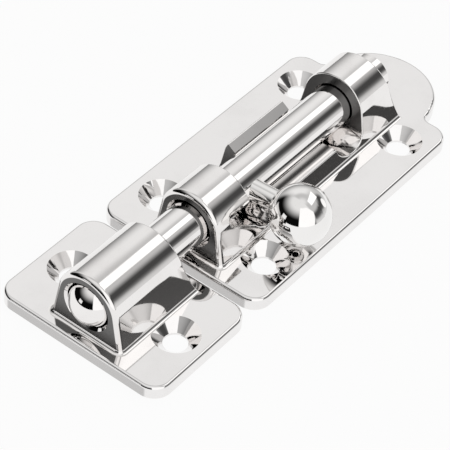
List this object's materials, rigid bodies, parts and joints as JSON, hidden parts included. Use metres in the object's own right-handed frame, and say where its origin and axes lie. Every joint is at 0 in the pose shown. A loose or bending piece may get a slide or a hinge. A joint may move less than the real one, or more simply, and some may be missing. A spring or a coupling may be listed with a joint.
{
  "type": "slide bolt",
  "caption": "Surface slide bolt: a round rod with a domed end and a ball knob runs in an arched barrel on a round-nosed plate, with an arched keep on its own plate.",
  "frame": {"origin": "centre of the bolt plate's four screw holes, at the plates' underside, with x zero on the rod's axis", "axes": "+Y along the rod, away from the keep; +Z out of the door's face; +X towards the knob at rest"},
  "size_m": [0.052, 0.1375, 0.0211],
  "materials": {
    "plate": "polished",
    "housing": "polished",
    "rod": "polished",
    "knob": "polished",
    "ring": "satin",
    "screw": "satin"
  },
  "bodies": {
    "housing": {"strike_plate": "plate", "bolt_plate": "plate", "keep": "housing", "barrel": "housing", "barrel_screw_1": "screw", "barrel_screw_2": "screw", "barrel_screw_3": "screw", "barrel_screw_4": "screw", "keep_screw_1": "screw", "keep_screw_2": "screw"},
    "runner": {"drag_ring": "ring"},
    "rod": {"bolt_rod": "rod", "knob_stem": "knob", "knob_ball": "knob"}
  },
  "joints": [
    {"name": "throw", "type": "slide", "parent": "housing", "child": "runner", "axis": [0, 1, 0], "range_m": [-0.003, 0.0338]},
    {"name": "knob_turn", "type": "hinge", "parent": "runner", "child": "rod", "pos_m": [0, -0.01965, 0.012], "axis": [0, -1, 0], "range_deg": [-4.5, 177.5]}
  ]
}
